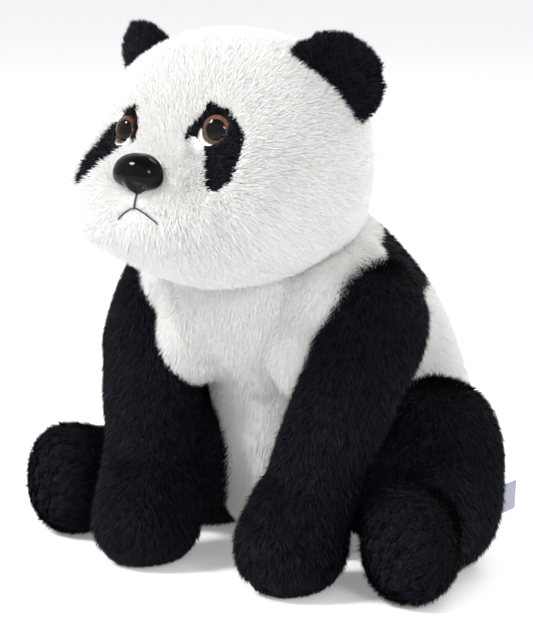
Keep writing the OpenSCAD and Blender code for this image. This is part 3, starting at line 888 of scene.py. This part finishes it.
class PANDA_OT_head(bpy.types.Operator):
    """Sew and fur the white head with its black eye patches"""
    bl_idname = "panda.head"
    bl_label = "Head"

    def execute(self, context):
        cloth = context.scene.panda_cloth
        inset = cloth.backing / MM
        lumps = [(30.5, 258.5, 10, -4.0), (30, 274, 16, 2.0), (0, 216, 15, -5.0), (0, 202, 13, -2.0),
                 (62, 212, 26, 4.5), (34, 212, 16, 2.0), (0, 268, 22, 1.0), (0, 247, 9, -1.2),
                 (56, 240, 20, 2.5)]

        def sculpt(p, n):
            q = p.copy()
            for x, z, wide, high in lumps:
                for side in (1, -1) if x else (1,):
                    centre = (side * x, float(face_y(x, z)) + 2, z)
                    q += n * (high * bell(np.linalg.norm(p - centre, axis=1), wide))[:, None]
            q += n * (5.0 * bell(np.linalg.norm(p - (0, HEAD_Y - 6, HEAD_Z + HEAD_H), axis=1), 48))[:, None]
            seam = bell(np.abs(p[:, 0]) - 49, 2.2) * np.clip((230 - p[:, 2]) / 8, 0, 1)
            seam *= p[:, 1] < HEAD_Y - 20
            q -= n * (1.5 * seam)[:, None]
            q = folds(q, n, 26, 0.7, 2)
            for side in SIDES.values():
                place = at_eye(side)
                local = moved(q, place.inverted())
                across = np.hypot(local[:, 0], local[:, 1])
                floor = SOCKET_FLOOR + np.maximum(0, across - EYE_R - 1.5) * 0.9
                floor = np.maximum(floor, moved(p, place.inverted())[:, 2] - SOCKET_SINK)
                sunk = (across < 2.2 * EYE_R) & (local[:, 2] > floor) & (q[:, 1] < HEAD_Y)
                local[:, 2] = np.where(sunk, floor, local[:, 2])
                q = np.where(sunk[:, None], moved(local, place), q)
            return q

        cover_skin = cover("head_skin", [head_form(inset)], cloth, stuff("white knit"), sculpt,
                           lambda p: bell(eye_distance(p, 1), 12) + bell(eye_distance(p, -1), 12)
                           + bell(nose_distance(p), 14), 2, ("head_stuffing",))

        def nap(p, n):
            away = p - np.array([0, float(face_y(0, NOSE_Z)) + 6, NOSE_Z])
            away /= np.linalg.norm(away, axis=1, keepdims=True)
            combed = away + np.array([0, 0.1, -0.3])
            for side in (1, -1):
                z = EYE[1] - EYE_DROP[side]
                aside = p - np.array([side * EYE[0], float(face_y(EYE[0], z)), z])
                aside /= np.linalg.norm(aside, axis=1, keepdims=True)
                combed += aside * (3.0 * bell(eye_distance(p, side), 13))[:, None]
            return combed

        def trim(p, n):
            near = np.minimum(eye_distance(p, 1), eye_distance(p, -1))
            short = (1 - 0.5 * bell(nose_distance(p), 20) - 0.5 * bell(near, 15)
                     - 0.55 * bell(mouth_distance(p), 4))
            return np.clip(short, 0.22, 1)

        def patches(p):
            return np.maximum(patch_depth(p, 1), patch_depth(p, -1))

        def plastic(p):
            """How far outside the eyes and the nose each point lies."""
            eyes = np.minimum(eye_distance(p, 1), eye_distance(p, -1)) - EYE_R
            return np.minimum(eyes - 0.6, nose_distance(p) - NOSE_HALF_W + 6)

        plush = panel("head_plush", cover_skin, lambda p: np.minimum(-patches(p), plastic(p) + 0.9),
                      stuff("white knit"))
        settle(plush, "head", "white_plush", "head_cover")
        face_back, nape_top = HEAD_Y - 42, 232
        zones = {"face": lambda p: face_back - p[:, 1],
                 "crown": lambda p: np.minimum(p[:, 1] - face_back, p[:, 2] - nape_top),
                 "nape": lambda p: np.minimum(p[:, 1] - face_back, nape_top - p[:, 2])}
        for k, (zone, inside) in enumerate(zones.items()):
            def keep(p, n, inside=inside):
                return 0.5 + np.minimum(np.minimum(inside(p), -patches(p)), plastic(p) / 2)
            settle(grow_pile(f"head_pile_{zone}", cover_skin, stuff("white pile"), keep, nap, trim,
                             **comb(cloth, cloth.face_pile, cloth.density * 1.05, 11 + k, **SMOOTH)),
                   "head", "white_plush")
        for name, side in SIDES.items():
            def backed(p):
                return np.minimum(patch_depth(p, side), eye_distance(p, side) - EYE_R + 0.3)

            def furred(p, n):
                return 0.5 + np.minimum(patch_depth(p, side), eye_distance(p, side) - EYE_R - 0.6)

            patch = panel(f"{name}_patch_plush", cover_skin, backed, stuff("black knit"))
            settle(patch, "head", "black_plush", f"{name}_eye_patch")
            lying = {**FLUFFY, "Lift": 0.42, "Clump_pull": 0.2}
            settle(grow_pile(f"{name}_patch_pile", cover_skin, stuff("black pile"), furred, nap,
                             lambda p, n: np.clip(0.62 - 0.2 * bell(eye_distance(p, side), 12), 0.3, 1),
                             **comb(cloth, cloth.face_pile, 3.6, 21, **lying)),
                   "head", "black_plush")
        drop(cover_skin)
        return {"FINISHED"}


class PANDA_OT_ears(bpy.types.Operator):
    """Sew and fur the round black ears"""
    bl_idname = "panda.ears"
    bl_label = "Ears"

    def execute(self, context):
        cloth = context.scene.panda_cloth
        for name, side in SIDES.items():
            place = at_ear(side)
            back = place.inverted()
            points, faces = ear_form(cloth.backing / MM * 0.8)
            root = ball((0, 0, -3), (24, 5, 7))
            forms = [(moved(p, place), f) for p, f in ((points, faces), root)]
            ear = cover("ear_skin", forms, cloth, stuff("black knit"), relax=2)
            front = lambda p: -(moved(p, back)[:, 1] - EAR_CUP * 0.5)
            for part, inside in (("front", front), ("back", lambda p: -front(p))):
                piece = panel(f"{name}_ear_{part}_plush", ear, inside, stuff("black knit"))
                settle(piece, f"{name}_ear", "black_plush", f"{name}_ear_{part}")

            def nap(p, n):
                q = moved(p, back)
                away = np.stack([q[:, 0], np.zeros(len(q)), q[:, 2] + 12], 1)
                away /= np.linalg.norm(away, axis=1, keepdims=True)
                return away @ np.array(place.to_3x3()).T

            settle(grow_pile(f"{name}_ear_pile", ear, stuff("black pile"), lambda p, n: np.ones(len(p)), nap,
                             lambda p, n: np.full(len(p), 0.7),
                             **comb(cloth, cloth.body_pile, 3.2, 31, **FLUFFY)),
                   f"{name}_ear", "black_plush")
            drop(ear)
        return {"FINISHED"}


class PANDA_OT_torso(bpy.types.Operator):
    """Sew and fur the white torso and the black yoke over its shoulders"""
    bl_idname = "panda.torso"
    bl_label = "Torso"

    def execute(self, context):
        cloth = context.scene.panda_cloth
        inset = cloth.backing / MM
        lobes = [ball((side * x, y, z), radii) for side in (1, -1)
                 for x, y, z, radii in ((51, -75, 163, (27, 31, 33)), (41, -84, 134, (21, 25, 31)))]
        skin_obj = cover("torso_skin", [loft(TORSO, (8, 6), inset)] + lobes, cloth, stuff("white knit"),
                         lambda p, n: grounded(folds(p, n, 30, 0.9, 4)), None, 4, ("torso_stuffing",))
        panels = {
            "chest": (lambda p: np.minimum(-white_on_back(p), -in_band(p)), "chest_panel", "white"),
            "back": (lambda p: np.minimum(white_on_back(p), -in_band(p)), "back_panel", "white"),
            "yoke": (in_band, "shoulder_yoke", "black")}
        for k, (name, (inside, node, tone)) in enumerate(panels.items()):
            piece = panel(f"torso_{name}", skin_obj, inside, stuff(f"{tone} knit"))
            settle(piece, "torso", f"{tone}_plush", node)

            def keep(p, n, inside=inside):
                return 0.5 + np.minimum(inside(p), p[:, 2] - 3)

            def nap(p, n):
                out = p * np.array([1, 1, 0])
                out /= np.maximum(np.linalg.norm(out, axis=1, keepdims=True), 1)
                return out * 0.15 + np.array([0, 0, -1])

            brushed = SMOOTH if tone == "white" else FLUFFY
            settle(grow_pile(f"torso_pile_{name}", skin_obj, stuff(f"{tone} pile"), keep, nap, None,
                             **comb(cloth, cloth.body_pile, cloth.density * 0.85, 41 + k, **brushed)),
                   "torso", f"{tone}_plush")
        drop(skin_obj)
        return {"FINISHED"}


def grounded(p):
    """Flattens what would sink below the ground."""
    q = p.copy()
    q[:, 2] = np.where(q[:, 2] < 6, GROUND + (6 - GROUND) * np.exp((q[:, 2] - 6) / 6), q[:, 2])
    return q


class PANDA_OT_arms(bpy.types.Operator):
    """Sew and fur the arms with their paw pads"""
    bl_idname = "panda.arms"
    bl_label = "Arms"

    def execute(self, context):
        cloth = context.scene.panda_cloth
        inset = cloth.backing / MM
        for name, side in SIDES.items():
            def sculpt(p, n):
                wrist = bell(p[:, 2] - 66, 7) * 2.0 + bell(p[:, 2] - 108, 10) * 1.0
                toes = bell(p[:, 2] - 26, 16) * 1.5 * (p[:, 1] < -118)
                return grounded(folds(p + n * (toes - wrist)[:, None], n, 24, 1.0, 6 + side))

            arm = cover("arm_skin", mirrored([loft(ARM, (8, 12), inset)], side), cloth, stuff("black knit"),
                        sculpt, None, 3, (f"{name}_arm_stuffing",))
            pad = lambda p: PAD_Z - p[:, 2]
            body = f"{name}_arm"
            piece = panel(f"{name}_arm_plush", arm, lambda p: -pad(p), stuff("black knit"))
            settle(piece, body, "black_plush", f"{name}_arm_cover")
            sole = panel(f"{name}_paw_plush", arm, pad, stuff("black knit"))
            settle(sole, body, "short_black_pile", f"{name}_paw_pad")

            def nap(p, n):
                return np.stack([p[:, 0] * 0.002, np.full(len(p), -0.25), np.full(len(p), -1.0)], 1)

            settle(grow_pile(f"{name}_arm_pile", arm, stuff("black pile"),
                             lambda p, n: 0.5 - pad(p), nap, None,
                             **comb(cloth, cloth.body_pile, cloth.density, 51, **FLUFFY)),
                   body, "black_plush")
            settle(grow_pile(f"{name}_paw_pile", arm, stuff("short pile"),
                             lambda p, n: 0.5 + np.minimum(pad(p), p[:, 2] - 2), nap, None,
                             **comb(cloth, cloth.short_pile, 4.0, 55, Lift=0.9, Mess=0.4, Clump_pull=0.3)),
                   body, "short_black_pile")
            drop(arm)
        return {"FINISHED"}


class PANDA_OT_legs(bpy.types.Operator):
    """Sew and fur the hind legs with their soles"""
    bl_idname = "panda.legs"
    bl_label = "Hind legs"

    def execute(self, context):
        cloth = context.scene.panda_cloth
        inset = cloth.backing / MM
        for name, side in SIDES.items():
            def sculpt(p, n):
                ankle = bell(p[:, 1] + 74, 8) * 2.0
                return grounded(folds(p - n * ankle[:, None], n, 28, 1.1, 9 + side))

            leg = cover("leg_skin", mirrored(leg_form(FOOT_X[name], inset), side), cloth, stuff("black knit"),
                        sculpt, None, 4, (f"{name}_leg_stuffing",))
            sole_part = lambda p: SOLE_Y - p[:, 1]
            body = f"{name}_leg"
            piece = panel(f"{name}_leg_plush", leg, lambda p: -sole_part(p), stuff("black knit"))
            settle(piece, body, "black_plush", f"{name}_leg_cover")
            sole = panel(f"{name}_sole_plush", leg, sole_part, stuff("black knit"))
            settle(sole, body, "short_black_pile", f"{name}_foot_sole")

            def nap(p, n):
                ahead = np.clip((-45 - p[:, 1]) / 30, 0, 1)
                return np.stack([side * 0.3 * (1 - ahead), -0.35 - 0.65 * ahead, -1 + 0.75 * ahead], 1)

            settle(grow_pile(f"{name}_leg_pile", leg, stuff("black pile"),
                             lambda p, n: 0.5 + np.minimum(-sole_part(p), p[:, 2] - 2), nap, None,
                             **comb(cloth, cloth.body_pile, cloth.density * 0.87, 61, **FLUFFY)),
                   body, "black_plush")
            settle(grow_pile(f"{name}_sole_pile", leg, stuff("short pile"),
                             lambda p, n: 0.5 + np.minimum(sole_part(p), p[:, 2] - 2), nap, None,
                             **comb(cloth, cloth.short_pile, 4.0, 65, Lift=1.0, Mess=0.4, Clump_pull=0.3)),
                   body, "short_black_pile")
            drop(leg)
        return {"FINISHED"}


class PANDA_OT_tail(bpy.types.Operator):
    """Sew and fur the short white tail"""
    bl_idname = "panda.tail"
    bl_label = "Tail"

    def execute(self, context):
        cloth = context.scene.panda_cloth
        inset = cloth.backing / MM
        form = ball((TAIL[0], TAIL[1] - 3, TAIL[2]), (TAIL_R - inset, TAIL_OUT, TAIL_R - inset))
        tail = cover("tail_plush", [form], cloth, stuff("white knit"), relax=1)
        settle(tail, "torso", "white_plush", "tail")
        settle(grow_pile("tail_pile", tail, stuff("white pile"), lambda p, n: np.ones(len(p)),
                         lambda p, n: np.tile([0.0, 0.5, -1.0], (len(p), 1)), None,
                         **comb(cloth, cloth.body_pile, cloth.density, 71, **SMOOTH)), "torso", "white_plush")
        return {"FINISHED"}


class PANDA_OT_eyes(bpy.types.Operator):
    """Mould the clear domes and pupils"""
    bl_idname = "panda.eyes"
    bl_label = "Eyes"

    def execute(self, context):
        dome_high, pupil_high, iris_t, lip = 4.6, 1.2, 1.0, 0.3
        turn = np.linspace(0, 2 * math.pi, 48, endpoint=False)
        for name, side in SIDES.items():
            place = at_eye(side)
            for part, radius, low, high, key in (("lens", EYE_R + 0.2, iris_t - 0.4, dome_high, "lens"),
                                                 ("pupil", PUPIL_R, iris_t, pupil_high, "pupil")):
                rings = [[(radius * 0.96 * math.cos(a), radius * 0.96 * math.sin(a), low)
                          for a in turn]]
                for t in np.linspace(0.05, 1.5, 14):
                    rings.append([(radius * math.cos(t) * math.cos(a), radius * math.cos(t) * math.sin(a),
                                   low + lip + high * math.sin(t)) for a in turn])
                points, faces = skin([np.array(r) for r in rings], (0, 0, low), (0, 0, low + lip + high))
                piece = object_from(f"{name}_{part}_shape", moved(points, place), faces, stuff(key))
                settle(piece, "head", {"lens": "clear_acrylic", "pupil": "black_gloss_plastic"}[part],
                       f"{name}_eye_{part}")
        return {"FINISHED"}


class PANDA_OT_nose(bpy.types.Operator):
    """Mould the glossy nose"""
    bl_idname = "panda.nose"
    bl_label = "Nose"

    def execute(self, context):
        sides, deep = 64, 12.5
        turn = np.linspace(0, 2 * math.pi, sides, endpoint=False)
        top, bottom = 12.0, 8.0
        across = NOSE_HALF_W * spow(np.cos(turn), 0.85)
        up = np.where(np.sin(turn) > 0, top * spow(np.sin(turn), 1.0), bottom * spow(np.sin(turn), 0.6))
        up -= 2.4 * bell(across, 4.0) * (np.sin(turn) < 0)
        across *= 1 - 0.1 * np.clip(-np.sin(turn), 0, 1)
        rings = [np.stack([across * s, up * s, np.full(sides, z)], 1)
                 for s, z in ((0.86, -2.0), (0.95, -1.0))]
        for a in np.linspace(0.03, 1.52, 22):
            s = math.cos(a) ** 0.75
            rings.append(np.stack([across * s, up * s + 0.8 * math.sin(a),
                                   np.full(sides, deep * math.sin(a))], 1))
        points, faces = skin(rings, (0, 0, -2.0), (0, 0.8, deep))
        for x in (-5.2, 5.2):
            spot = np.hypot((points[:, 0] - x) / 2.6, (points[:, 1] + 5.5) / 1.6)
            points[:, 2] -= 1.0 * np.exp(-spot ** 2) * (points[:, 2] > 0)
        shape = object_from("nose_boss", moved(points, at_nose()), faces, stuff("nose"))
        fine = shape.modifiers.new("fine", "SUBSURF")
        fine.levels = fine.render_levels = 1
        baked(shape)
        settle(shape, "head", "black_gloss_plastic", "nose")
        return {"FINISHED"}


def stitch_tree(material, radius, long):
    """Geometry Nodes that lay slanted stitches of thread along a path."""
    tree = bpy.data.node_groups.new("stitches", "GeometryNodeTree")
    tree.interface.new_socket("Geometry", in_out="INPUT", socket_type="NodeSocketGeometry")
    tree.interface.new_socket("Spacing", in_out="INPUT", socket_type="NodeSocketFloat")
    tree.interface.new_socket("Geometry", in_out="OUTPUT", socket_type="NodeSocketGeometry")
    given = add(tree, "NodeGroupInput").outputs
    curve = add(tree, "GeometryNodeMeshToCurve", {"Mesh": given["Geometry"]})
    row = add(tree, "GeometryNodeResampleCurve",
              {"Curve": curve, "Length": given["Spacing"]}, mode="LENGTH")
    points = add(tree, "GeometryNodeCurveToPoints",
                 {"Curve": row, "Length": given["Spacing"]}, mode="LENGTH")
    ply = add(tree, "GeometryNodeMeshUVSphere", Segments=8, Rings=6, Radius=1.0)
    shaped = add(tree, "GeometryNodeTransform", {
        "Geometry": ply, "Scale": (radius, radius, long), "Rotation": (0, math.radians(24), 0)})
    laid = add(tree, "GeometryNodeInstanceOnPoints", {
        "Points": points, "Instance": shaped, "Rotation": points.outputs["Rotation"]})
    solid = add(tree, "GeometryNodeRealizeInstances", {"Geometry": laid})
    smooth = add(tree, "GeometryNodeSetShadeSmooth", {"Geometry": solid})
    dyed = add(tree, "GeometryNodeSetMaterial", {"Geometry": smooth, "Material": material})
    add(tree, "NodeGroupOutput", {"Geometry": dyed})
    return tree


class PANDA_OT_mouth(bpy.types.Operator):
    """Embroider the mouth"""
    bl_idname = "panda.mouth"
    bl_label = "Mouth"

    def execute(self, context):
        radius = 0.5
        stem = [(0.0, MOUTH_Z + 9 * (1 - t)) for t in np.linspace(0, 1, 8)]
        paths = [stem] + [[(side * wide * t, MOUTH_Z - 7 * t ** 1.5) for t in np.linspace(0, 1, 16)]
                          for side, wide in ((1, 15), (-1, 12))]
        backing = BVHTree.FromObject(bpy.data.objects["head_plush"], context.evaluated_depsgraph_get())

        def lie(x, z):
            """The place on the face's backing, with the thread pulled in between the pile."""
            hit = backing.ray_cast(Vector((x, -300, z)) * MM, Vector((0, 1, 0)))[0]
            return (x, hit.y / MM - 1.2, z)

        points, edges = [], []
        for path in paths:
            first = len(points)
            points += [lie(x, z) for x, z in path]
            edges += [(k, k + 1) for k in range(first, len(points) - 1)]
        mesh = bpy.data.meshes.new("mouth_thread")
        mesh.from_pydata([tuple(c * MM for c in p) for p in points], edges, [])
        piece = bpy.data.objects.new("mouth_thread", mesh)
        context.scene.collection.objects.link(piece)
        nodes = piece.modifiers.new("stitches", "NODES")
        nodes.node_group = stitch_tree(stuff("mouth"), radius * MM, 1.5 * MM)
        set_inputs(nodes, {"Spacing": 1.1 * MM})
        baked(piece)
        settle(piece, "head", "grey_thread", "mouth_stitches")
        return {"FINISHED"}


class PANDA_OT_label(bpy.types.Operator):
    """Fold the blank satin care label"""
    bl_idname = "panda.label"
    bl_label = "Care label"

    def execute(self, context):
        long, high, gap = LABEL_OUT + LABEL_ROOT, LABEL_H, 0.5
        turn = (Matrix.Translation((*HIP, LABEL_Z)) @ Matrix.Rotation(math.radians(LABEL_TURN), 4, "Z")
                @ Matrix.Translation((HAUNCH_R - LABEL_ROOT, -gap / 2, 0)))
        path = [(s, 0.0) for s in np.linspace(0, long - 1, 14)]
        path += [(long - 1 + math.sin(a), gap / 2 - gap / 2 * math.cos(a)) for a in np.linspace(0.4, 2.7, 5)]
        path += [(s, gap) for s in np.linspace(long - 1, 0, 14)]
        rows = 12
        points = [(s, d + 1.6 * math.sin(s / long * 2.4 + v * 0.9) * (s / long),
                   v * high + LABEL_RISE * (s / long) ** 2)
                  for s, d in path for v in np.linspace(0, 1, rows)]
        at = lambda i, j: i * rows + j
        faces = [(at(i, j), at(i + 1, j), at(i + 1, j + 1), at(i, j + 1))
                 for i in range(len(path) - 1) for j in range(rows - 1)]
        piece = object_from("satin_label", moved(points, turn), faces, stuff("label"))
        wall = piece.modifiers.new("wall", "SOLIDIFY")
        wall.thickness = 0.15 * MM
        baked(piece)
        piece.data.shade_smooth()
        settle(piece, "left_leg", "label_satin", "care_label")
        return {"FINISHED"}


class PANDA_OT_insides(bpy.types.Operator):
    """Finish the pieces that keep the frame's own shapes"""
    bl_idname = "panda.insides"
    bl_label = "Filling and fittings"

    def execute(self, context):
        finishes = {"stuffing": "filling", "pellet_bag": "bag", "washer": "washer", "eye_iris": "iris",
                    "closing_stitches": "closing"}
        for node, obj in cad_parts.items():
            for ending, key in finishes.items():
                if node.endswith(ending):
                    obj.data.materials.clear()
                    obj.data.materials.append(stuff(key))
        return {"FINISHED"}


class PANDA_OT_studio(bpy.types.Operator):
    """Lay a pale floor and set soft lights and the camera"""
    bl_idname = "panda.studio"
    bl_label = "Studio"

    def execute(self, context):
        reach = 9000
        corners = [(-reach, -reach, 0), (reach, -reach, 0), (reach, reach, 0), (-reach, reach, 0)]
        paper = principled("backlit matt paper", Base_Color=linear("#f7f7f8"), Roughness=0.9,
                           Emission_Color=(1, 1, 1, 1), Emission_Strength=0.2)[0]
        floor = object_from("studio_floor", corners, [(0, 1, 2, 3)], paper)
        world = bpy.data.worlds.new("studio")
        context.scene.world = world
        world.use_nodes = True
        sky = world.node_tree
        way = add(sky, "ShaderNodeTexCoord").outputs["Generated"]
        up = add(sky, "ShaderNodeSeparateXYZ", {"Vector": way})
        fade = add(sky, "ShaderNodeMapRange", {"Value": up.outputs["Z"]}, From_Min=0.62, From_Max=0.84)
        tone = add(sky, "ShaderNodeMix", {"Factor": fade, 6: (1, 1, 1, 1), 7: (*linear("#a4a6ab"), 1)},
                   data_type="RGBA")
        sky.links.new(tone.outputs[2], sky.nodes["Background"].inputs["Color"])
        sky.nodes["Background"].inputs["Strength"].default_value = 1.0
        target = Vector((0.01, -0.06, 0.15))
        lamps = (((-1.1, -1.5, 1.8), 0.6, 55), ((1.7, -1.2, 1.1), 0.6, 16), ((0.2, 1.4, 1.9), 1.3, 22))
        for place, size, power in lamps:
            lamp = bpy.data.lights.new("softbox", "AREA")
            lamp.shape = "DISK"
            lamp.size = size
            lamp.energy = power
            light = bpy.data.objects.new("softbox", lamp)
            light.location = place
            light.rotation_euler = (target - Vector(place)).to_track_quat("-Z", "Y").to_euler()
            context.scene.collection.objects.link(light)
        azimuth, height, away = math.radians(38), math.radians(10), 1.5
        look = Vector((0.014, -0.09, 0.15))
        seen = bpy.data.cameras.new("camera")
        seen.lens, seen.sensor_width, seen.sensor_fit = 154.5, 36, "AUTO"
        camera = bpy.data.objects.new("camera", seen)
        camera.location = look + away * Vector((math.sin(azimuth) * math.cos(height),
                                                -math.cos(azimuth) * math.cos(height), math.sin(height)))
        camera.rotation_euler = (look - camera.location).to_track_quat("-Z", "Y").to_euler()
        context.scene.collection.objects.link(camera)
        context.scene.camera = camera
        context.scene.view_settings.view_transform = "Standard"
        return {"FINISHED"}


PIECES = (PANDA_OT_studio, PANDA_OT_head, PANDA_OT_ears, PANDA_OT_eyes, PANDA_OT_nose, PANDA_OT_mouth,
          PANDA_OT_torso, PANDA_OT_arms, PANDA_OT_legs, PANDA_OT_tail, PANDA_OT_label, PANDA_OT_insides)


class VIEW3D_PT_panda(bpy.types.Panel):
    """The panda's pieces and its settings"""
    bl_label = "Plush panda"
    bl_space_type = "VIEW_3D"
    bl_region_type = "UI"
    bl_category = "Panda"

    def draw(self, context):
        for group in (context.scene.panda_cloth, context.scene.panda_dyes):
            for name in group.__annotations__:
                self.layout.prop(group, name)
        for piece in PIECES:
            self.layout.operator(piece.bl_idname)


CLASSES = (PandaCloth, PandaDyes) + PIECES + (VIEW3D_PT_panda,)


def register():
    for item in CLASSES:
        bpy.utils.register_class(item)
    bpy.types.Scene.panda_cloth = PointerProperty(type=PandaCloth)
    bpy.types.Scene.panda_dyes = PointerProperty(type=PandaDyes)


def unregister():
    del bpy.types.Scene.panda_cloth
    del bpy.types.Scene.panda_dyes
    for item in reversed(CLASSES):
        bpy.utils.unregister_class(item)


def main():
    register()
    for piece in PIECES:
        group, name = piece.bl_idname.split(".")
        getattr(getattr(bpy.ops, group), name)()


if __name__ == "__main__":
    main()
